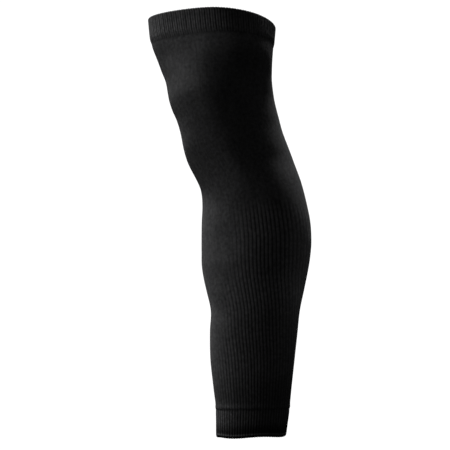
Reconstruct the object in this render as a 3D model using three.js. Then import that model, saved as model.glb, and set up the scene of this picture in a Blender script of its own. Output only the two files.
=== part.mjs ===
// A knitted compression sleeve for the leg, in the shape that it takes when it is worn: a single-layer
// tube from mid-thigh to ankle, plain over the thigh and knee and ribbed over the calf, between two
// ribbed cuffs that are the knit turned back on itself.
// Millimetres, +Z up. -X is the front of the leg, with the kneecap and shin, and +X the calf.
// The origin is the centre of the thigh opening, so heights are given as drops below it.

import * as THREE from "three";

// Knit
const LAYER = 1; // one thickness of knit
const GAP = 0.3; // clearance between pieces
const RIB_COUNT = 68; // ribs round the leg, the same number at every height
const RIB_HEIGHT = 0.5; // crest above groove
const PLAIN_STEPS = RIB_COUNT; // one facet for each rib where the knit is plain
const RIBBED_STEPS = 2 * RIB_COUNT; // a crest and a groove for each rib

// Drops of the main lines, below the centre of the thigh opening
const THIGH_BORDER = 28.5; // foot of the thigh cuff
const RIBS_START = 231; // plain knit ends under the knee
const RIBS_FULL = 253; // ribs have their full height from here down
const ANKLE_BORDER = 484; // head of the ankle cuff
const LENGTH = 517.6; // ankle hem

// Cuffs: an outer layer that ends at the border, and an inner layer that runs on inside the tube's end
const THIGH_PROUD = 0.2; // a cuff's outer layer stands this far out from the tube
const ANKLE_PROUD = 0;
const FLANGE = 5; // length of the inner layer inside the tube
const FLANGE_FACE = LAYER + GAP; // depth of the flange's outer face under the tube's surface
const LINING_FACE = FLANGE_FACE + LAYER; // depth of a cuff's inner face
const FOLD_ROUND = 1.1; // rounding of the folded edge

// The leg's cross-sections, from the thigh hem to the ankle hem. Each is an oval round its own centre:
// drop, below the thigh opening; centre, behind the thigh opening's centre; depth, front to back; width,
// side to side; egg, the share by which the back is wider than the front; front and back, the exponents
// of the oval's two halves, pointed under 2 and squarish over it; tilt, how far the front edge stands
// above the centre; twist, the turn of the ribs in degrees; crowd, the share by which ribs are closer
// together at the sides.
const COLUMNS = ["drop", "centre", "depth", "width", "egg", "front", "back", "tilt", "twist", "crowd"];
const SECTIONS = [
  [0, 0, 160.6, 167, 0.28, 1.8, 1.82, 5.8, -26, 0.1],
  [28.5, 0.9, 154.3, 156, 0.3, 1.8, 2.1, 2.2, -26, 0.1],
  [49, 4.2, 144.9, 153.6, 0.26, 1.8, 2.3, 0.6, -26, 0.1],
  [62, 6.4, 139.5, 149, 0.17, 1.87, 2.35, 0.2, -26, 0.11],
  [75, 9, 134.3, 143, 0.05, 1.95, 2.4, 0, -26, 0.12],
  [98, 12.5, 132.9, 135.5, -0.13, 1.9, 2.5, 0, -26, 0.14],
  [111, 15.9, 131.5, 131, -0.17, 1.9, 2.55, 0, -26, 0.15],
  [123, 20.1, 129.1, 127, -0.18, 1.95, 2.55, 0, -26, 0.16],
  [139, 24.7, 128.4, 121.5, -0.18, 2, 2.55, 0, -26, 0.18],
  [162, 31.3, 132.5, 118, -0.17, 1.85, 2.5, 0, -26, 0.2],
  [179, 37, 133.1, 115, -0.15, 1.65, 2.45, 0, -26, 0.22],
  [200, 46.2, 130, 114.8, -0.1, 1.6, 2.45, 0, -26, 0.22],
  [213, 50.7, 128.3, 115.8, -0.07, 1.7, 2.45, 0, -26, 0.22],
  [231, 53.8, 130.7, 117.6, -0.03, 1.9, 2.45, 0, -25, 0.22],
  [253, 55.4, 135.4, 119.2, 0.01, 2, 2.4, 0, -23.8, 0.22],
  [277, 55.9, 136.9, 120, 0.03, 1.9, 2.35, 0, -22.6, 0.22],
  [291, 55.5, 136.1, 119, 0.02, 1.85, 2.3, 0, -21.8, 0.22],
  [306, 54.6, 133.9, 116.5, 0.01, 1.85, 2.25, 0, -20, 0.21],
  [321, 54.2, 128.8, 112, 0.01, 1.9, 2.15, 0, -17.8, 0.2],
  [338, 54.2, 121.4, 105.5, 0.02, 2.05, 2.25, 0, -15, 0.19],
  [363, 54.3, 110.6, 96.5, 0.03, 2.2, 2.3, 0, -10.8, 0.16],
  [389, 52.4, 108.7, 89, -0.01, 2.15, 2.3, 0, -6.3, 0.13],
  [425, 50.7, 103.9, 81, -0.01, 2.1, 2.25, 0, -0.8, 0.12],
  [459, 50.7, 96.1, 75.5, 0, 2.1, 2.2, -0.4, 0, 0.12],
  [484, 50.9, 90.4, 72, 0, 2.05, 2.1, -0.8, 0, 0.12],
  [517.6, 49, 85.1, 68, 0.04, 2, 2.05, -1.1, 0, 0.12],
];
const DROPS = SECTIONS.map(([drop]) => drop);
const FRONT_END = -0.6; // cosine of the angle up to which a section has its front exponent
const BACK_START = 0.6; // cosine of the angle from which it has its back exponent
const CHORDS = 720; // short straight steps that measure the way round a section
const FULL_TURN = 2 * Math.PI;

// A smooth curve down the leg through every column of the table.
const legCurve = new THREE.CubicInterpolant(DROPS, SECTIONS.flat(), COLUMNS.length);

function sectionAt(drop) {
  const values = legCurve.evaluate(drop);
  return Object.fromEntries(COLUMNS.map((name, k) => [name, values[k]]));
}

// A power that keeps the sign of its base.
function signedPower(value, power) {
  return Math.sign(value) * Math.abs(value) ** power;
}

// Point of a section's outline at an angle from the back, and the way out from the leg there.
function outlinePoint(section, angle) {
  const back = Math.cos(angle);
  const side = Math.sin(angle);
  const share = THREE.MathUtils.smoothstep(back, FRONT_END, BACK_START);
  const bulge = 2 / THREE.MathUtils.lerp(section.front, section.back, share);
  const place = new THREE.Vector3(
    section.centre + (section.depth / 2) * signedPower(back, bulge),
    (section.width / 2) * signedPower(side, bulge) * (1 + section.egg * back),
    -section.drop - section.tilt * back,
  );
  const outward = new THREE.Vector3(
    signedPower(back, 2 - bulge) / section.depth,
    signedPower(side, 2 - bulge) / section.width,
    0,
  );
  return { place, outward: outward.normalize() };
}

// Angles of points that are spaced evenly round a section, apart from the crowding at its sides.
function evenAngles(section, steps) {
  const corners = Array.from(
    { length: CHORDS + 1 },
    (_, k) => outlinePoint(section, (FULL_TURN * k) / CHORDS).place,
  );
  const lengths = [0];
  for (let k = 1; k <= CHORDS; k += 1) {
    lengths.push(lengths[k - 1] + corners[k].distanceTo(corners[k - 1]));
  }
  return Array.from({ length: steps }, (_, step) => {
    const even = (FULL_TURN * step) / steps + THREE.MathUtils.degToRad(section.twist);
    const turns = (even + (section.crowd / 2) * Math.sin(2 * even)) / FULL_TURN;
    const target = (turns - Math.floor(turns)) * lengths[CHORDS];
    const k = lengths.findIndex((length) => length > target);
    const part = (target - lengths[k - 1]) / (lengths[k] - lengths[k - 1]);
    return (FULL_TURN * (k - 1 + part)) / CHORDS;
  });
}

// Ring of points round the leg at one drop. Inset is how far inside the tube's surface it lies, and
// crest how far every other point of a ribbed ring stands out from the rest.
function ring({ drop, inset = 0, crest = 0, steps = PLAIN_STEPS }) {
  const section = sectionAt(drop);
  return evenAngles(section, steps).map((angle, k) => {
    const { place, outward } = outlinePoint(section, angle);
    return place.addScaledVector(outward, (k % 2 === 0 ? crest : 0) - inset);
  });
}

// Closed surface through a loop of rings that goes down the outside, across the lower end, up the inside
// and across the upper end. Neighbouring rings may have different numbers of points.
function skin(rings) {
  const first = [];
  const positions = [];
  for (const points of rings) {
    first.push(positions.length / 3);
    points.forEach((point) => positions.push(...point));
  }
  const index = [];
  rings.forEach((upper, r) => {
    const next = (r + 1) % rings.length;
    const lower = rings[next];
    const up = (k) => first[r] + (k % upper.length);
    const down = (k) => first[next] + (k % lower.length);
    let u = 0;
    let d = 0;
    while (u < upper.length || d < lower.length) {
      if ((d + 1) / lower.length <= (u + 1) / upper.length) {
        index.push(up(u), down(d), down(d + 1));
        d += 1;
      } else {
        index.push(up(u), down(d), up(u + 1));
        u += 1;
      }
    }
  });
  const geometry = new THREE.BufferGeometry();
  geometry.setAttribute("position", new THREE.Float32BufferAttribute(positions, 3));
  geometry.setIndex(index);
  geometry.computeVertexNormals();
  return geometry;
}

function knit(color) {
  return new THREE.MeshStandardMaterial({ color, roughness: 0.85, metalness: 0 });
}

function piece(name, geometry, material) {
  const mesh = new THREE.Mesh(geometry, material);
  mesh.name = name;
  return mesh;
}

// Drops of the table's sections between two drops, with both ends.
function dropsBetween(from, to) {
  return [from, ...DROPS.filter((drop) => drop > from && drop < to), to];
}

// Single-layer tube, whose ends lap over the cuffs' flanges.
function legTube() {
  const head = THIGH_BORDER + GAP;
  const foot = ANKLE_BORDER - GAP;
  const plain = dropsBetween(head, RIBS_START).map((drop) => ring({ drop }));
  const ribbed = dropsBetween(RIBS_FULL, foot).map((drop) =>
    ring({ drop, crest: RIB_HEIGHT, steps: RIBBED_STEPS }),
  );
  const lined = [head, ...dropsBetween(THIGH_BORDER + FLANGE, ANKLE_BORDER - FLANGE), foot];
  const lining = lined.map((drop) => ring({ drop, inset: LAYER }));
  return skin([...plain, ...ribbed, ...lining.reverse()]);
}

// Doubled cuff between its hem, which is a fold, and its border with the tube.
function cuff({ hem, border, proud }) {
  const along = Math.sign(border - hem);
  const shoulder = hem + along * FOLD_ROUND;
  const flangeEnd = border + along * FLANGE;
  const ribbed = (drop) => ring({ drop, inset: -proud, crest: RIB_HEIGHT, steps: RIBBED_STEPS });
  const section = [
    ring({ drop: hem, inset: FOLD_ROUND - proud }),
    ribbed(shoulder),
    ribbed(border),
    ring({ drop: border, inset: FLANGE_FACE }),
    ring({ drop: flangeEnd, inset: FLANGE_FACE }),
    ring({ drop: flangeEnd, inset: LINING_FACE }),
    ring({ drop: shoulder, inset: LINING_FACE }),
    ring({ drop: hem, inset: LINING_FACE - FOLD_ROUND }),
  ];
  return skin(along > 0 ? section : section.reverse());
}

const sleeve = new THREE.Group();
sleeve.add(
  piece("thigh_cuff", cuff({ hem: 0, border: THIGH_BORDER, proud: THIGH_PROUD }), knit(0x202022)),
  piece("leg_tube", legTube(), knit(0x1c1c1e)),
  piece("ankle_cuff", cuff({ hem: LENGTH, border: ANKLE_BORDER, proud: ANKLE_PROUD }), knit(0x1e1e20)),
);

export default sleeve;
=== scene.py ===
"""A knitted compression leg sleeve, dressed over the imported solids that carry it.

The sleeve is three pieces of black knit: a tube that is plain over the knee and ribbed over the calf, and
a doubled ribbed cuff at each end. Each piece starts as a flat panel of knit, a row of the panel for each
row of its profile, and is wrapped round the leg's cross-sections and closed on itself.
Metres, +Z up. -X is the front of the leg, and heights are drops below the thigh opening's centre.
"""

import bisect
import math
from collections import namedtuple

import bmesh
import bpy
from bpy.props import FloatProperty, FloatVectorProperty, IntProperty, PointerProperty
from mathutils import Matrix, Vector, noise


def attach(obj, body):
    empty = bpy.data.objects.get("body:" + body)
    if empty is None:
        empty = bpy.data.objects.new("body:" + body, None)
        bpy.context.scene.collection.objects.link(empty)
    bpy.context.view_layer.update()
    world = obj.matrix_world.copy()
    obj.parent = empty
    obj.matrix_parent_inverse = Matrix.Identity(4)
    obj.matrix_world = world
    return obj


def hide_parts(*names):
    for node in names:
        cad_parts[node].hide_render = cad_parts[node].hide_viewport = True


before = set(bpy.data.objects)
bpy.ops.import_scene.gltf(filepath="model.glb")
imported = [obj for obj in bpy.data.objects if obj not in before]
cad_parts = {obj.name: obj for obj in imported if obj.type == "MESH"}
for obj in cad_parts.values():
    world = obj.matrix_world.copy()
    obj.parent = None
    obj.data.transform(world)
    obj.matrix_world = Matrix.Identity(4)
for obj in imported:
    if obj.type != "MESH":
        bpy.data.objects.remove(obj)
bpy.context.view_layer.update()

bl_info = {
    "name": "Leg Sleeve",
    "version": (1, 0, 0),
    "blender": (4, 5, 0),
    "location": "3D View > Sidebar > Leg Sleeve",
    "description": "Knits a compression sleeve for the leg over its packed solids",
    "category": "Add Mesh",
}

BODY = "root"

# The leg's cross-sections, as ovals round their own centres: drop, below the thigh opening; centre, behind
# the thigh opening's centre; depth, front to back; width, side to side; egg, the share by which the back
# is wider than the front; front and back, the exponents of the oval's two halves, pointed under 2 and
# squarish over it; tilt, how far the front edge stands above the centre; twist, the turn of the knit in
# degrees; crowd, the share by which ribs are closer at the sides.
# The second row and the last but one are the cuffs' borders with the tube.
Section = namedtuple("Section", "drop centre depth width egg front back tilt twist crowd")
SECTIONS = (
    Section(0.0000, 0.0000, 0.1606, 0.1670, 0.28, 1.80, 1.82, 0.0058, -26, 0.10),
    Section(0.0285, 0.0009, 0.1543, 0.1560, 0.30, 1.80, 2.10, 0.0022, -26, 0.10),
    Section(0.0490, 0.0042, 0.1449, 0.1536, 0.26, 1.80, 2.30, 0.0006, -26, 0.10),
    Section(0.0620, 0.0064, 0.1395, 0.1490, 0.17, 1.87, 2.35, 0.0002, -26, 0.11),
    Section(0.0750, 0.0090, 0.1343, 0.1430, 0.05, 1.95, 2.40, 0.0000, -26, 0.12),
    Section(0.0980, 0.0125, 0.1329, 0.1355, -0.13, 1.90, 2.50, 0.0000, -26, 0.14),
    Section(0.1110, 0.0159, 0.1315, 0.1310, -0.17, 1.90, 2.55, 0.0000, -26, 0.15),
    Section(0.1230, 0.0201, 0.1291, 0.1270, -0.18, 1.95, 2.55, 0.0000, -26, 0.16),
    Section(0.1390, 0.0247, 0.1284, 0.1215, -0.18, 2.00, 2.55, 0.0000, -26, 0.18),
    Section(0.1620, 0.0313, 0.1325, 0.1180, -0.17, 1.85, 2.50, 0.0000, -26, 0.20),
    Section(0.1790, 0.0370, 0.1331, 0.1150, -0.15, 1.65, 2.45, 0.0000, -26, 0.22),
    Section(0.2000, 0.0462, 0.1300, 0.1148, -0.10, 1.60, 2.45, 0.0000, -26, 0.22),
    Section(0.2130, 0.0507, 0.1283, 0.1158, -0.07, 1.70, 2.45, 0.0000, -26, 0.22),
    Section(0.2310, 0.0538, 0.1307, 0.1176, -0.03, 1.90, 2.45, 0.0000, -25, 0.22),
    Section(0.2530, 0.0554, 0.1354, 0.1192, 0.01, 2.00, 2.40, 0.0000, -23.8, 0.22),
    Section(0.2770, 0.0559, 0.1369, 0.1200, 0.03, 1.90, 2.35, 0.0000, -22.6, 0.22),
    Section(0.2910, 0.0555, 0.1361, 0.1190, 0.02, 1.85, 2.30, 0.0000, -21.8, 0.22),
    Section(0.3060, 0.0546, 0.1339, 0.1165, 0.01, 1.85, 2.25, 0.0000, -20, 0.21),
    Section(0.3210, 0.0542, 0.1288, 0.1120, 0.01, 1.90, 2.15, 0.0000, -17.8, 0.20),
    Section(0.3380, 0.0542, 0.1214, 0.1055, 0.02, 2.05, 2.25, 0.0000, -15, 0.19),
    Section(0.3630, 0.0543, 0.1106, 0.0965, 0.03, 2.20, 2.30, 0.0000, -10.8, 0.16),
    Section(0.3890, 0.0524, 0.1087, 0.0890, -0.01, 2.15, 2.30, 0.0000, -6.3, 0.13),
    Section(0.4250, 0.0507, 0.1039, 0.0810, -0.01, 2.10, 2.25, 0.0000, -0.8, 0.12),
    Section(0.4590, 0.0507, 0.0961, 0.0755, 0.00, 2.10, 2.20, -0.0004, 0, 0.12),
    Section(0.4840, 0.0509, 0.0904, 0.0720, 0.00, 2.05, 2.10, -0.0008, 0, 0.12),
    Section(0.5176, 0.0490, 0.0851, 0.0680, 0.04, 2.00, 2.05, -0.0011, 0, 0.12),
)
DROPS = [section.drop for section in SECTIONS]
THIGH_HEM, THIGH_BORDER = DROPS[0], DROPS[1]
ANKLE_BORDER, ANKLE_HEM = DROPS[-2], DROPS[-1]
FRONT_END = -0.6  # cosine of the angle from the back at which a section comes to its front exponent
BACK_START = 0.6  # and at which it leaves its back exponent
CHORDS = 360  # short straight steps that measure the way round a section

# One row of a panel of knit: drop, where it lies on the leg; lift, how far it stands out from the tube's
# surface; rib_out and rib_down, how far a rib's crest then stands out and down from it; tone, how light the
# yarn is, painted light and shade included; rib_tone, the share by which it is lighter on a rib's
# crest and darker in its groove, painted light on the crest and painted shade in the groove; ribs_to, the
# cosine of the angle from the back up to which the ribs are whole, before they fade out over the shin;
# back_ribs, the share of them that is left at the back; wave, how far the row wanders up and down.
Row = namedtuple(
    "Row", "drop lift rib_out rib_down tone rib_tone ribs_to back_ribs wave", defaults=(1, 0, -1, 1, 0))
RIB_FADE = 0.6  # how much further the cosine falls before the ribs are gone
BACK_FADE = (0.3, 0.75)  # cosines between which the ribs sink to what is left of them at the back
HEM_WAVES = 4  # waves of a hem round the leg
HEM_WAVE_START = 0.25  # angle of a wave's top from the back, in radians
ROUND_RIB_POINTS = 8  # points across a plain rib
PAIRED_RIB_POINTS = 12  # points across a rib of two wales
ROUND_RIB_POWER = 0.8  # how full a plain rib is, half an oval at 0.5 and a parabola at 1
WALE_GROOVE = 0.6  # depth of the groove between the two wales of a rib

# Shape and shade of the borders and hems
WELD = 0.000001  # points of a panel's edges that are this close are one
EDGE = 0.0001  # width of the narrow row that keeps a piece's end crisp
FINE_STRETCH = 0.012  # length of knit with closer rows at each end of the tube
HEAD_SEAM = 0.002  # spread of the groove at the tube's upper end and of its painted shadow
FOOT_SEAM = 0.0015  # spread of the groove at its lower end and of its painted shadow
CUFF_SEAM = 0.0016  # spread of the groove at a cuff's border and of its painted shadow
RIDGE_RISE = 0.0022  # how far the ridge above the ankle cuff lies from the border
RIDGE_SPREAD = 0.003
HEAD_PAINTED_LIGHT_LENGTH = 0.03  # length of the painted light on the knit under the thigh cuff
CALF_PAINTED_LIGHT_DROP = 0.343  # middle of the band of painted light where the calf narrows
CALF_PAINTED_LIGHT_SPREAD = 0.022
FOOT_PAINTED_SHADE_DROPS = (0.43, 0.468)  # drops where the painted shade above the ankle starts to deepen, and where it is full
INNER_RIBS = 0.5  # share of the ribs' height on the tube's inner face
BORDER_FADE = 0.006  # length over which a cuff's ribs reach their full height
FOLD_RIBS = 0.65  # share of a cuff's ribs half way round its fold
BEAD_SPREAD = 0.0007  # spread of the bead along a hem

# Knit as a material
STITCH_RELIEF = 0.00012  # height of the yarn in a stitch
STITCH_SLANT = 1.6  # how far a stitch's two legs rise to the sides, in courses for each wale
LOOP_DEPTH = 0.4  # half the share by which the yarn sinks between two courses
GAP_SHARPNESS = 0.5  # power that narrows the gaps between stitches
FIBRE_RELIEF = 0.3  # height of the fibres beside a stitch
SHADE_SCALE = 55  # slow shades, for each metre
MOTTLE_SCALE = 260  # mottling, for each metre
FIBRE_SCALE = 2600  # fibres, for each metre
STREAK_SCALE = 0.7  # streaks, for each wale
STREAK_ALONG = 0.03  # how fast a streak changes along its wale beside how fast it does across
WORN_LIGHT = 1.35  # worn yarn beside the yarn's colour
GAP_PAINTED_SHADE = 0.45  # painted shade in the gaps between stitches, beside the yarn's colour
MOTTLING = 1.4  # reach of the mottling's tone round 1
STREAKING = 0.5  # reach of the streaks' tone round 1
ROUGHNESS = (0.8, 0.15)  # the least roughness, and what the fibres add to it

# Stage
FLOOR_REACH = 20  # from the floor's middle to its sides
FLOOR_PAINT = (0.015, 0.015, 0.015, 1)
WHITE = (1, 1, 1, 1)
WHITE_GLOW = 1.1  # strength at which the floor and the backdrop are white to the camera

# Soft lights of the studio: where each stands, its width and height, its power in watts,
# and the angle of its beam in degrees.
Lamp = namedtuple("Lamp", "name place size power spread", defaults=(180,))
LAMPS = (
    Lamp("key_light", (-1.51, 0.35, 3.43), (0.8, 0.8), 420),
    Lamp("front_light", (-3.65, -0.58, 1.24), (0.8, 0.8), 90),
    Lamp("back_hair_light", (0.49, 0.92, 3.61), (0.8, 0.8), 415),
    Lamp("side_light", (3.7, 1.3, -0.1), (0.25, 0.25), 0.032, 3.0),
    Lamp("far_side_light", (0.02, 3.2, -0.2), (0.8, 0.8), 30),
)

STITCH_MAP = "stitches"
# The tone attribute: how light the yarn is, with painted light and shade in it.
TONE = "tone"
PANEL_MAP = "OFBake"


class KnitSettings(bpy.types.PropertyGroup):
    """Gauge of the knit, the same in every piece."""

    ribs: IntProperty(name="Ribs", description="Ribs round the leg", default=68, min=8)
    wales_per_rib: IntProperty(
        name="Wales per rib", description="Columns of stitches in one rib", default=4, min=1)
    course: FloatProperty(
        name="Course", description="Height of one row of stitches", default=0.0012, unit="LENGTH")
    layer: FloatProperty(
        name="Layer", description="Thickness of one layer of knit", default=0.001, unit="LENGTH")
    gap: FloatProperty(
        name="Gap", description="Clearance between neighbouring pieces", default=0.0001, unit="LENGTH")
    unevenness: FloatProperty(
        name="Unevenness", description="Height of the knit's slow swells", default=0.0002, unit="LENGTH")
    swell_width: FloatProperty(
        name="Swell width", description="Width of a swell round the leg", default=0.012, unit="LENGTH")
    swell_length: FloatProperty(
        name="Swell length", description="Length of a swell along the leg", default=0.035, unit="LENGTH")


class LegTubeSettings(bpy.types.PropertyGroup):
    """Sizes of the single-layer tube."""

    ribs_start: FloatProperty(
        name="Ribs start", description="Drop where plain knit ends under the knee", default=0.222,
        unit="LENGTH")
    ribs_full: FloatProperty(
        name="Ribs full", description="Drop where the ribs reach their full height", default=0.253,
        unit="LENGTH")
    rib_height: FloatProperty(
        name="Rib height", description="Height of a rib's crest above its groove", default=0.0003,
        unit="LENGTH")
    # Painted light on the ribs' crests and painted shade in their grooves.
    rib_tone: FloatProperty(
        name="Rib tone", description="Share by which crests are lighter and grooves darker", default=0.8)
    rib_light: FloatProperty(
        name="Rib light", description="Share by which ribbed knit is lighter than plain knit", default=0.08)
    # Painted light in a band where the calf narrows.
    calf_light: FloatProperty(
        name="Calf light", description="Share by which the knit is lighter where the calf narrows",
        default=0.35)
    ribs_to_knee: FloatProperty(
        name="Ribs to, knee", description="Angle from the back up to which ribs are whole under the knee",
        default=math.radians(87), subtype="ANGLE")
    ribs_to_ankle: FloatProperty(
        name="Ribs to, ankle", description="Angle from the back up to which ribs are whole at the ankle",
        default=math.radians(123), subtype="ANGLE")
    back_ribs: FloatProperty(
        name="Back ribs", description="Share of the ribs that is left along the calf", default=0.45)
    seam_dip: FloatProperty(
        name="Seam dip", description="Depth of the grooves along the cuffs", default=0.0001, unit="LENGTH")
    # Painted shadow along the grooves at the cuffs.
    seam_painted_shadow: FloatProperty(
        name="Seam shade", description="Share by which the knit is darker at the cuffs", default=0.28)
    # Painted light on the knit under the thigh cuff.
    head_painted_light: FloatProperty(
        name="Head light", description="Share by which the knit under the thigh cuff is lighter",
        default=0.3)
    # Painted shade on the knit above the ankle.
    foot_painted_shade: FloatProperty(
        name="Foot shade", description="Share by which the tight knit above the ankle is darker",
        default=0.36)
    foot_swell: FloatProperty(
        name="Foot swell", description="Height of the ridge above the ankle cuff", default=0.0006,
        unit="LENGTH")
    colour: FloatVectorProperty(
        name="Colour", description="Colour of the yarn", subtype="COLOR", size=3,
        default=(0.030, 0.030, 0.031), min=0, max=1)


class ThighCuffSettings(bpy.types.PropertyGroup):
    """Sizes of the upper cuff."""

    proud: FloatProperty(
        name="Proud", description="How far the cuff stands out from the tube", default=0.0002,
        unit="LENGTH")
    roll: FloatProperty(
        name="Roll", description="Length of the rounded fold at the hem", default=0.0016, unit="LENGTH")
    rib_height: FloatProperty(
        name="Rib height", description="Height of a rib's crest above its groove", default=0.0008,
        unit="LENGTH")
    border_ribs: FloatProperty(
        name="Border ribs", description="Share of the ribs that is left at the tube", default=0.1)
    # Painted light on the ribs' crests and painted shade in their grooves.
    rib_tone: FloatProperty(
        name="Rib tone", description="Share by which crests are lighter and grooves darker", default=0.6)
    tone: FloatProperty(
        name="Tone", description="How light the yarn is beside the tube's", default=1.08)
    # The yarn darkens towards the hem by this share.
    hem_shade: FloatProperty(
        name="Hem shade", description="Share by which the tight yarn at the hem is darker", default=0.15)
    bead_light: FloatProperty(
        name="Bead light", description="Tone that the edge of the fold gains", default=-0.35)
    hem_wave: FloatProperty(
        name="Hem wave", description="Height of the slow waves along the hem", default=0.0002,
        unit="LENGTH")


class AnkleCuffSettings(bpy.types.PropertyGroup):
    """Sizes of the lower cuff."""

    proud: FloatProperty(
        name="Proud", description="How far the cuff stands out from the tube", default=0.0,
        unit="LENGTH")
    roll: FloatProperty(
        name="Roll", description="Length of the rounded fold at the hem", default=0.0036, unit="LENGTH")
    rib_height: FloatProperty(
        name="Rib height", description="Height of a rib's crest above its groove", default=0.0006,
        unit="LENGTH")
    border_ribs: FloatProperty(
        name="Border ribs", description="Share of the ribs that is left at the tube", default=0.5)
    # Painted light on the ribs' crests and painted shade in their grooves.
    rib_tone: FloatProperty(
        name="Rib tone", description="Share by which crests are lighter and grooves darker", default=0.65)
    # The ankle cuff's tone below 1 is painted shade, going on from the painted shade above the ankle.
    tone: FloatProperty(
        name="Tone", description="How light the yarn is beside the tube's", default=0.75)
    # The yarn darkens towards the hem by this share.
    hem_shade: FloatProperty(
        name="Hem shade", description="Share by which the tight yarn at the hem is darker", default=0.78)
    bead_light: FloatProperty(
        name="Bead light", description="Tone that the edge of the fold gains", default=2.2)
    hem_wave: FloatProperty(
        name="Hem wave", description="Height of the slow waves along the hem", default=0.0007,
        unit="LENGTH")


class CuffYarnSettings(bpy.types.PropertyGroup):
    """Build and colour that the two cuffs share."""

    flange: FloatProperty(
        name="Flange", description="Length of the inner layer inside the tube's end", default=0.005,
        unit="LENGTH")
    # Length over which the yarn darkens towards each hem.
    shade_start: FloatProperty(
        name="Shade start", description="Length of the tight stretch of knit at a hem", default=0.021,
        unit="LENGTH")
    colour: FloatVectorProperty(
        name="Colour", description="Colour of the yarn", subtype="COLOR", size=3,
        default=(0.031, 0.031, 0.032), min=0, max=1)


class StudioSettings(bpy.types.PropertyGroup):
    """Camera, lights and floor."""

    camera: FloatVectorProperty(
        name="Camera", description="Place of the camera", subtype="TRANSLATION", size=3,
        default=(0.0168, -1.7, -0.4318))
    aim: FloatVectorProperty(
        name="Aim", description="Point that the camera looks at", subtype="TRANSLATION", size=3,
        default=(0.0168, 0, -0.2562))
    lens: FloatProperty(name="Lens", description="Focal length in millimetres", default=109.4)
    floor_drop: FloatProperty(
        name="Floor", description="Drop of the floor below the thigh opening", default=0.55, unit="LENGTH")
    fill: FloatProperty(name="Fill", description="Strength of the light from all round", default=0.12)


class SleeveSettings(bpy.types.PropertyGroup):
    """All that the sleeve's operators read."""

    knit: PointerProperty(name="Knit", description="Gauge of the knit", type=KnitSettings)
    tube: PointerProperty(name="Leg tube", description="Single-layer tube", type=LegTubeSettings)
    thigh: PointerProperty(name="Thigh cuff", description="Upper cuff", type=ThighCuffSettings)
    ankle: PointerProperty(name="Ankle cuff", description="Lower cuff", type=AnkleCuffSettings)
    cuff: PointerProperty(name="Cuff yarn", description="What both cuffs share", type=CuffYarnSettings)
    studio: PointerProperty(name="Studio", description="Camera, lights and floor", type=StudioSettings)


# The leg's form


def section_at(drop):
    """Cross-section at one drop, on a smooth curve through the table's rows."""
    last = len(SECTIONS) - 1
    k = min(max(bisect.bisect(DROPS, drop) - 1, 0), last - 1)
    before, start, end, after = (SECTIONS[min(max(k + step, 0), last)] for step in (-1, 0, 1, 2))
    span = end.drop - start.drop
    t = (drop - start.drop) / span
    values = []
    for a, b, c, d in zip(before, start, end, after):
        leaving = (c - a) / (end.drop - before.drop) * span
        arriving = (d - b) / (after.drop - start.drop) * span
        ends = b * (1 + 2 * t) * (1 - t) ** 2 + c * (3 - 2 * t) * t**2
        values.append(ends + leaving * t * (1 - t) ** 2 + arriving * (t - 1) * t**2)
    return Section(*values)


def smooth_step(value, low, high):
    """0 below low, 1 above high and a smooth rise between them."""
    t = min(max((value - low) / (high - low), 0), 1)
    return t * t * (3 - 2 * t)


def hump(value, middle, spread):
    """A smooth hump, 1 at its middle and fading out about twice its spread away."""
    return math.exp(-(((value - middle) / spread) ** 2))


def spaced(start, end, count):
    """Values from start to end in count equal steps."""
    return [start + (end - start) * k / count for k in range(count + 1)]


def round_rib(phase):
    """Height of a plain rib, from 0 in the groove to 1 on the crest at phase 0."""
    from_crest = abs(2 * ((phase + 0.5) % 1) - 1)
    return (1 - from_crest**2) ** ROUND_RIB_POWER


def paired_rib(phase):
    """Height of a rib of two wales, with a shallow groove along its middle."""
    from_middle = abs(2 * ((phase + 0.5) % 1) - 1)
    off_wale = 2 * from_middle - 1
    depth = 1 if off_wale > 0 else WALE_GROOVE
    return 1 - depth * off_wale**2


def signed_power(value, power):
    """A power that keeps the sign of its base."""
    return math.copysign(abs(value) ** power, value)


def outline_point(section, angle):
    """Point of a section's outline at an angle from the back, and the way out from the leg there."""
    back, side = math.cos(angle), math.sin(angle)
    share = smooth_step(back, FRONT_END, BACK_START)
    bulge = 2 / (section.front + (section.back - section.front) * share)
    place = Vector((
        section.centre + section.depth / 2 * signed_power(back, bulge),
        section.width / 2 * signed_power(side, bulge) * (1 + section.egg * back),
        -section.drop - section.tilt * back,
    ))
    across = signed_power(back, 2 - bulge) / section.depth
    outward = Vector((across, signed_power(side, 2 - bulge) / section.width, 0))
    return place, outward.normalized()


def even_angles(section, columns):
    """Angles whose points are spaced evenly round a section, apart from the ribs' crowding at the sides."""
    # Three laps round the section, because twisted ribs start before the back and end after it.
    angles = [math.tau * k / CHORDS for k in range(-CHORDS, 2 * CHORDS + 1)]
    points = [outline_point(section, angle)[0] for angle in angles[:CHORDS + 1]]
    lengths = [0.0]
    for start, end in zip(points, points[1:]):
        lengths.append(lengths[-1] + (end - start).length)
    round_leg = lengths[-1]
    lengths = [length + lap * round_leg for lap in (-1, 0, 1) for length in lengths[:-1]] + [2 * round_leg]
    found = []
    for column in range(columns + 1):
        even = math.tau * column / columns + math.radians(section.twist)
        share = (even + section.crowd / 2 * math.sin(2 * even)) / math.tau
        k = bisect.bisect(lengths, share * round_leg) - 1
        part = (share * round_leg - lengths[k]) / (lengths[k + 1] - lengths[k])
        found.append(angles[k] + part * math.tau / CHORDS)
    return found


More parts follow.
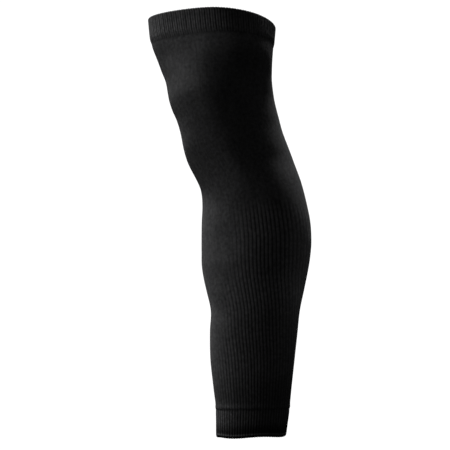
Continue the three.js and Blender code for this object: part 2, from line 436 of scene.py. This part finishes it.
def ring_of_stitches(row, columns, rib_shape, knit):
    """Points of one row of knit round the leg with their tones. The last is where the first is."""
    section = section_at(row.drop)
    swell_scale = Vector((1 / knit.swell_width, 1 / knit.swell_width, 1 / knit.swell_length))
    ring = []
    for column, angle in enumerate(even_angles(section, columns)):
        place, outward = outline_point(section, angle)
        crest = rib_shape(column / columns * knit.ribs % 1)
        back = math.cos(angle)
        ribbed = smooth_step(back, row.ribs_to - RIB_FADE, row.ribs_to)
        ribbed *= 1 - (1 - row.back_ribs) * smooth_step(back, *BACK_FADE)
        swell = knit.unevenness * noise.noise(place * swell_scale)
        place += outward * (row.lift + row.rib_out * ribbed * crest + swell)
        place.z += row.wave * math.cos(HEM_WAVES * (angle - HEM_WAVE_START)) - row.rib_down * crest
        # The tone carries painted light and shade; the rib term paints light on crests and shade in grooves.
        ring.append((place, row.tone * (1 + row.rib_tone * ribbed * (2 * crest - 1))))
    return ring


def wrap_panel(name, rows, points_per_rib, rib_shape, knit):
    """A panel of knit whose rows are wrapped round the leg, with its last row closed on its first."""
    columns = points_per_rib * knit.ribs
    closed = [*rows, rows[0]]
    rings = [ring_of_stitches(row, columns, rib_shape, knit) for row in closed]
    courses = [0.0]
    for row, following in zip(closed, closed[1:]):
        step = math.hypot(following.drop - row.drop, following.lift - row.lift)
        courses.append(courses[-1] + step / knit.course)

    # The flat panel is one unit wide and high, with its middle at the origin.
    bm = bmesh.new()
    panel_map = bm.loops.layers.uv.new(PANEL_MAP)
    bmesh.ops.create_grid(bm, x_segments=columns, y_segments=len(rows), size=0.5, calc_uvs=True)
    stitch_map = bm.loops.layers.uv.new(STITCH_MAP)
    tone = bm.verts.layers.float.new(TONE)
    for vertex in bm.verts:
        column = round((vertex.co.x + 0.5) * columns)
        row = round((vertex.co.y + 0.5) * len(rows))
        vertex.co, vertex[tone] = rings[row][column]
    wales = knit.ribs * knit.wales_per_rib
    for face in bm.faces:
        face.smooth = True
        for corner in face.loops:
            across, along = corner[panel_map].uv
            corner[stitch_map].uv = (across * wales, courses[round(along * len(rows))])
    bmesh.ops.remove_doubles(bm, verts=bm.verts, dist=WELD)
    bmesh.ops.recalc_face_normals(bm, faces=bm.faces)
    mesh = bpy.data.meshes.new(name)
    bm.to_mesh(mesh)
    bm.free()
    piece = bpy.data.objects.new(name, mesh)
    bpy.context.scene.collection.objects.link(piece)
    return piece


# Profiles of the pieces


def tube_rows(settings):
    """Rows of the tube: down the outside from the thigh cuff, and up the inside."""
    tube, knit = settings.tube, settings.knit
    rows_head, rows_outside, rows_foot, rows_inside = 9, 96, 10, 44
    head, foot = THIGH_BORDER + knit.gap, ANKLE_BORDER - knit.gap
    upper, lower = head + FINE_STRETCH, foot - FINE_STRETCH
    rows = []
    drops = [
        head, *spaced(head + EDGE, upper, rows_head)[:-1], *spaced(upper, lower, rows_outside),
        *spaced(lower, foot - EDGE, rows_foot)[1:], foot]
    for drop in drops:
        ribbed = smooth_step(drop, tube.ribs_start, tube.ribs_full)
        ridge = tube.foot_swell * hump(drop, foot - RIDGE_RISE, RIDGE_SPREAD)
        # The groove at each end of the tube is a shallow dip in the shape and a painted shadow in the tone.
        groove_and_painted_shadow = hump(drop, head, HEAD_SEAM) + hump(drop, foot, FOOT_SEAM)
        tone = 1 + tube.rib_light * ribbed
        # Painted light in a band where the calf narrows.
        tone *= 1 + tube.calf_light * hump(drop, CALF_PAINTED_LIGHT_DROP, CALF_PAINTED_LIGHT_SPREAD)
        # Painted light on the knit under the thigh cuff.
        tone *= 1 + tube.head_painted_light * (1 - smooth_step(drop, head, head + HEAD_PAINTED_LIGHT_LENGTH))
        # Painted shade on the knit above the ankle.
        tone *= 1 - tube.foot_painted_shade * smooth_step(drop, *FOOT_PAINTED_SHADE_DROPS)
        tone *= 1 - tube.seam_painted_shadow * groove_and_painted_shadow
        down_calf = (drop - tube.ribs_full) / (foot - tube.ribs_full)
        ribs_to = math.cos(tube.ribs_to_knee + (tube.ribs_to_ankle - tube.ribs_to_knee) * down_calf)
        # The rib term paints light on the crests and shade in the grooves.
        rows.append(Row(
            drop, ridge - tube.seam_dip * groove_and_painted_shadow, tube.rib_height * ribbed, 0, tone, tube.rib_tone * ribbed,
            ribs_to, tube.back_ribs))
    for drop in spaced(foot, head, rows_inside):
        ribs = INNER_RIBS * tube.rib_height * smooth_step(drop, tube.ribs_start, tube.ribs_full)
        rows.append(Row(drop, -knit.layer, ribs, 0))
    return rows


def cuff_rows(cuff, border, hem, settings):
    """Rows of a doubled cuff: along the outside to its hem, round the fold, along the inside to the end
    of the flange and back on its other face."""
    knit, build = settings.knit, settings.cuff
    rows_outside, rows_fold, rows_inside, rows_flange = 26, 14, 10, 2
    onward = math.copysign(1, hem - border)
    shoulder = hem - onward * cuff.roll
    flange_face = knit.layer + knit.gap
    lining = flange_face + knit.layer
    middle = (cuff.proud - lining) / 2
    half_wall = (cuff.proud + lining) / 2

    # The ankle cuff's tone below 1 is painted shade.
    def tone(drop):
        shade = cuff.hem_shade * smooth_step(abs(hem - drop), build.shade_start, 2 * cuff.roll)
        return cuff.tone * (1 - shade) + cuff.bead_light * hump(drop, shoulder, BEAD_SPREAD)

    def wave(drop):
        return cuff.hem_wave * smooth_step((drop - border) / (hem - border), 0, 1)

    rows = []
    for drop in [border, *spaced(border + onward * EDGE, shoulder, rows_outside)[:-1]]:
        # The groove at the cuff's border is a shallow dip in the shape and a painted shadow in the tone.
        groove_and_painted_shadow = hump(drop, border, CUFF_SEAM)
        ribs = cuff.border_ribs + (1 - cuff.border_ribs) * smooth_step(abs(drop - border), 0, BORDER_FADE)
        # The rib term paints light on the crests and shade in the grooves.
        rows.append(Row(
            drop, cuff.proud * ribs - settings.tube.seam_dip * groove_and_painted_shadow, cuff.rib_height * ribs, 0,
            tone(drop) * (1 - settings.tube.seam_painted_shadow * groove_and_painted_shadow), cuff.rib_tone, wave=wave(drop)))
    for turn in spaced(0, math.pi, rows_fold):
        out, down = math.cos(turn), math.sin(turn)
        drop = shoulder + onward * cuff.roll * down
        ribs = cuff.rib_height * (FOLD_RIBS + (1 - FOLD_RIBS) * out)
        rows.append(Row(
            drop, middle + half_wall * out, ribs * out, ribs * down * onward, tone(drop), wave=wave(drop)))
    flange_end = border - onward * build.flange
    for drop in spaced(shoulder, flange_end, rows_inside)[1:]:
        rows.append(Row(drop, -lining, 0, 0, wave=wave(drop)))
    for drop in spaced(flange_end, border, rows_flange):
        rows.append(Row(drop, -flange_face, 0, 0))
    return rows


# Materials


class Wiring:
    """Adds nodes to a material and links them."""

    def __init__(self, material):
        material.use_nodes = True
        self.tree = material.node_tree
        self.tree.nodes.clear()

    def node(self, kind, **values):
        made = self.tree.nodes.new(kind)
        for name, value in values.items():
            setattr(made, name, value)
        return made

    def feed(self, socket, value):
        if isinstance(value, bpy.types.NodeSocket):
            self.tree.links.new(value, socket)
        else:
            socket.default_value = value

    def math(self, operation, *values):
        made = self.node("ShaderNodeMath", operation=operation)
        for socket, value in zip(made.inputs, values):
            self.feed(socket, value)
        return made.outputs[0]

    def noise(self, where, scale, detail):
        made = self.node("ShaderNodeTexNoise")
        self.feed(made.inputs["Vector"], where)
        self.feed(made.inputs["Scale"], scale)
        self.feed(made.inputs["Detail"], detail)
        return made.outputs[0]

    def mix(self, share, first, second):
        made = self.node("ShaderNodeMix", data_type="RGBA")
        self.feed(made.inputs["Factor"], share)
        self.feed(made.inputs["A"], first)
        self.feed(made.inputs["B"], second)
        return made.outputs["Result"]


def stitch_relief(wiring):
    """Height of the yarn in a stitch, two legs that meet in a V, from 0 between stitches to 1."""
    where = wiring.node("ShaderNodeUVMap", uv_map=STITCH_MAP)
    parts = wiring.node("ShaderNodeSeparateXYZ")
    wiring.feed(parts.inputs[0], where.outputs["UV"])
    wale, course = parts.outputs["X"], parts.outputs["Y"]
    across = wiring.math("ABSOLUTE", wiring.math("SUBTRACT", wiring.math("FRACT", wale), 0.5))
    leg = wiring.math("SINE", wiring.math("MULTIPLY", across, math.tau))
    slant = wiring.math("MULTIPLY_ADD", across, STITCH_SLANT, course)
    loop = wiring.math("COSINE", wiring.math("MULTIPLY", slant, math.tau))
    swell = wiring.math("MULTIPLY_ADD", loop, LOOP_DEPTH, 1 - LOOP_DEPTH)
    return wiring.math("MULTIPLY", leg, swell)


def knit_material(name, colour):
    """Matt black stretch yarn: stitches in relief with painted shade between them, fine fibres, slow shades,
    and the painted light and shade that the tone attribute carries.
    """
    material = bpy.data.materials.new(name)
    wiring = Wiring(material)
    place = wiring.node("ShaderNodeTexCoord").outputs["Object"]
    stitch = stitch_relief(wiring)
    shade = wiring.noise(place, SHADE_SCALE, detail=3)
    mottle = wiring.noise(place, MOTTLE_SCALE, detail=2)
    fibre = wiring.noise(place, FIBRE_SCALE, detail=2)
    strand = wiring.node("ShaderNodeVectorMath", operation="MULTIPLY")
    wiring.feed(strand.inputs[0], wiring.node("ShaderNodeUVMap", uv_map=STITCH_MAP).outputs["UV"])
    strand.inputs[1].default_value = (1, STREAK_ALONG, 1)
    streak = wiring.noise(strand.outputs[0], STREAK_SCALE, detail=1)

    yarn = (*colour, 1)
    worn = (*(WORN_LIGHT * c for c in colour), 1)
    # Painted shade in the gaps between stitches.
    gap = (*(GAP_PAINTED_SHADE * c for c in colour), 1)
    shaded = wiring.mix(wiring.math("MULTIPLY", shade, shade), yarn, worn)
    knitted = wiring.mix(wiring.math("POWER", stitch, GAP_SHARPNESS), gap, shaded)
    # The tone attribute holds painted light and shade as well as the yarn's tone.
    tone = wiring.node("ShaderNodeAttribute", attribute_name=TONE).outputs["Fac"]
    for pattern, reach in ((mottle, MOTTLING), (streak, STREAKING)):
        tone = wiring.math("MULTIPLY", tone, wiring.math("MULTIPLY_ADD", pattern, reach, 1 - reach / 2))
    toned = wiring.node("ShaderNodeVectorMath", operation="SCALE")
    wiring.feed(toned.inputs[0], knitted)
    wiring.feed(toned.inputs["Scale"], tone)
    least_rough, fibre_rough = ROUGHNESS
    rough = wiring.math("MULTIPLY_ADD", fibre, fibre_rough, least_rough)
    height = wiring.math("MULTIPLY_ADD", fibre, FIBRE_RELIEF, stitch)

    bump = wiring.node("ShaderNodeBump")
    bump.inputs["Strength"].default_value = 0.8
    bump.inputs["Distance"].default_value = STITCH_RELIEF
    wiring.feed(bump.inputs["Height"], height)

    shader = wiring.node("ShaderNodeBsdfPrincipled")
    wiring.feed(shader.inputs["Base Color"], toned.outputs[0])
    wiring.feed(shader.inputs["Roughness"], rough)
    shader.inputs["Specular IOR Level"].default_value = 0.06
    shader.inputs["Sheen Weight"].default_value = 0.01
    shader.inputs["Sheen Roughness"].default_value = 0.4
    wiring.feed(shader.inputs["Normal"], bump.outputs["Normal"])
    out = wiring.node("ShaderNodeOutputMaterial")
    wiring.feed(out.inputs["Surface"], shader.outputs[0])
    return material


def dress(piece, material, node):
    """Gives a piece its material and lets it stand for its solid."""
    piece.data.materials.append(material)
    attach(piece, BODY)
    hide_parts(node)


def cuff_material(settings):
    """Rib knit that both cuffs share."""
    return bpy.data.materials.get("cuff_yarn") or knit_material("cuff_yarn", settings.cuff.colour)


# Operators


class SLEEVE_OT_knit_leg_tube(bpy.types.Operator):
    """Knit the single-layer tube between the cuffs"""

    bl_idname = "leg_sleeve.knit_leg_tube"
    bl_label = "Knit Leg Tube"

    def execute(self, context):
        settings = context.scene.leg_sleeve
        rows = tube_rows(settings)
        tube = wrap_panel("knitted_tube", rows, ROUND_RIB_POINTS, round_rib, settings.knit)
        dress(tube, knit_material("tube_yarn", settings.tube.colour), "leg_tube")
        return {"FINISHED"}


class SLEEVE_OT_knit_thigh_cuff(bpy.types.Operator):
    """Knit the doubled cuff that grips the thigh"""

    bl_idname = "leg_sleeve.knit_thigh_cuff"
    bl_label = "Knit Thigh Cuff"

    def execute(self, context):
        settings = context.scene.leg_sleeve
        rows = cuff_rows(settings.thigh, THIGH_BORDER, THIGH_HEM, settings)
        cuff = wrap_panel("knitted_thigh_cuff", rows, PAIRED_RIB_POINTS, paired_rib, settings.knit)
        dress(cuff, cuff_material(settings), "thigh_cuff")
        return {"FINISHED"}


class SLEEVE_OT_knit_ankle_cuff(bpy.types.Operator):
    """Knit the doubled cuff at the ankle"""

    bl_idname = "leg_sleeve.knit_ankle_cuff"
    bl_label = "Knit Ankle Cuff"

    def execute(self, context):
        settings = context.scene.leg_sleeve
        rows = cuff_rows(settings.ankle, ANKLE_BORDER, ANKLE_HEM, settings)
        cuff = wrap_panel("knitted_ankle_cuff", rows, ROUND_RIB_POINTS, round_rib, settings.knit)
        dress(cuff, cuff_material(settings), "ankle_cuff")
        return {"FINISHED"}


class SLEEVE_OT_declare_cloth(bpy.types.Operator):
    """Stands for saying what size the knit has before it is stretched over the leg, but does nothing"""

    bl_idname = "leg_sleeve.declare_cloth"
    bl_label = "Declare Cloth"

    def execute(self, context):
        return {"FINISHED"}


def area_light(lamp, aim):
    """A soft rectangular light that faces a point and that the camera does not see."""
    data = bpy.data.lights.new(lamp.name, "AREA")
    data.shape = "RECTANGLE"
    data.size, data.size_y = lamp.size
    data.energy = lamp.power
    data.spread = math.radians(lamp.spread)
    light = bpy.data.objects.new(lamp.name, data)
    light.location = lamp.place
    light.rotation_euler = (aim - light.location).to_track_quat("-Z", "Y").to_euler()
    light.visible_camera = False
    bpy.context.scene.collection.objects.link(light)


def floor_material():
    """Floor that is nearly white to the camera and sends little light back on to the sleeve."""
    material = bpy.data.materials.new("pale_floor")
    wiring = Wiring(material)
    paint = wiring.node("ShaderNodeBsdfDiffuse")
    paint.inputs["Color"].default_value = FLOOR_PAINT
    glow = wiring.node("ShaderNodeEmission")
    glow.inputs["Strength"].default_value = WHITE_GLOW
    seen = wiring.node("ShaderNodeLightPath").outputs["Is Camera Ray"]
    blend = wiring.node("ShaderNodeMixShader")
    wiring.feed(blend.inputs[0], seen)
    wiring.feed(blend.inputs[1], paint.outputs[0])
    wiring.feed(blend.inputs[2], glow.outputs[0])
    out = wiring.node("ShaderNodeOutputMaterial")
    wiring.feed(out.inputs["Surface"], blend.outputs[0])
    return material


def white_backdrop(fill):
    """World that is white behind the sleeve and lights it only dimly."""
    world = bpy.data.worlds.new("white_backdrop")
    wiring = Wiring(world)
    seen = wiring.node("ShaderNodeLightPath").outputs["Is Camera Ray"]
    glow = wiring.node("ShaderNodeBackground")
    wiring.feed(glow.inputs["Strength"], wiring.math("MULTIPLY_ADD", seen, WHITE_GLOW - fill, fill))
    glow.inputs["Color"].default_value = WHITE
    out = wiring.node("ShaderNodeOutputWorld")
    wiring.feed(out.inputs["Surface"], glow.outputs[0])
    return world


class SLEEVE_OT_set_studio(bpy.types.Operator):
    """Set up the floor, the lights and the camera"""

    bl_idname = "leg_sleeve.set_studio"
    bl_label = "Set Studio"

    def execute(self, context):
        scene = context.scene
        studio = scene.leg_sleeve.studio
        bm = bmesh.new()
        bmesh.ops.create_grid(bm, x_segments=1, y_segments=1, size=FLOOR_REACH)
        bmesh.ops.translate(bm, verts=bm.verts, vec=(0, 0, -studio.floor_drop))
        mesh = bpy.data.meshes.new("floor")
        bm.to_mesh(mesh)
        bm.free()
        mesh.materials.append(floor_material())
        floor = bpy.data.objects.new("floor", mesh)
        scene.collection.objects.link(floor)

        aim = Vector(studio.aim)
        for lamp in LAMPS:
            area_light(lamp, aim)
        scene.world = white_backdrop(studio.fill)

        data = bpy.data.cameras.new("camera")
        data.lens = studio.lens
        camera = bpy.data.objects.new("camera", data)
        camera.location = studio.camera
        camera.rotation_euler = (aim - Vector(studio.camera)).to_track_quat("-Z", "Y").to_euler()
        scene.collection.objects.link(camera)
        scene.camera = camera
        scene.view_settings.view_transform = "Standard"
        return {"FINISHED"}


class SLEEVE_PT_panel(bpy.types.Panel):
    """Sizes, colours and steps of the sleeve"""

    bl_idname = "SLEEVE_PT_panel"
    bl_label = "Leg Sleeve"
    bl_space_type = "VIEW_3D"
    bl_region_type = "UI"
    bl_category = "Leg Sleeve"

    def draw(self, context):
        settings = context.scene.leg_sleeve
        for group_name in SleeveSettings.__annotations__:
            group = getattr(settings, group_name)
            box = self.layout.box()
            for name in group.__annotations__:
                box.prop(group, name)
        for operator in OPERATORS:
            self.layout.operator(operator.bl_idname)


SETTINGS = (
    KnitSettings,
    LegTubeSettings,
    ThighCuffSettings,
    AnkleCuffSettings,
    CuffYarnSettings,
    StudioSettings,
    SleeveSettings,
)
OPERATORS = (
    SLEEVE_OT_knit_leg_tube,
    SLEEVE_OT_knit_thigh_cuff,
    SLEEVE_OT_knit_ankle_cuff,
    SLEEVE_OT_declare_cloth,
    SLEEVE_OT_set_studio,
)


def register():
    """Make the settings, operators and panel known to Blender."""
    for made in (*SETTINGS, *OPERATORS, SLEEVE_PT_panel):
        bpy.utils.register_class(made)
    bpy.types.Scene.leg_sleeve = PointerProperty(type=SleeveSettings)


def unregister():
    """Take them out again."""
    del bpy.types.Scene.leg_sleeve
    for made in reversed((*SETTINGS, *OPERATORS, SLEEVE_PT_panel)):
        bpy.utils.unregister_class(made)


def main():
    """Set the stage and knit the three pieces."""
    register()
    bpy.ops.leg_sleeve.set_studio()
    bpy.ops.leg_sleeve.knit_leg_tube()
    bpy.ops.leg_sleeve.knit_thigh_cuff()
    bpy.ops.leg_sleeve.knit_ankle_cuff()
    bpy.ops.leg_sleeve.declare_cloth()


if __name__ == "__main__":
    main()
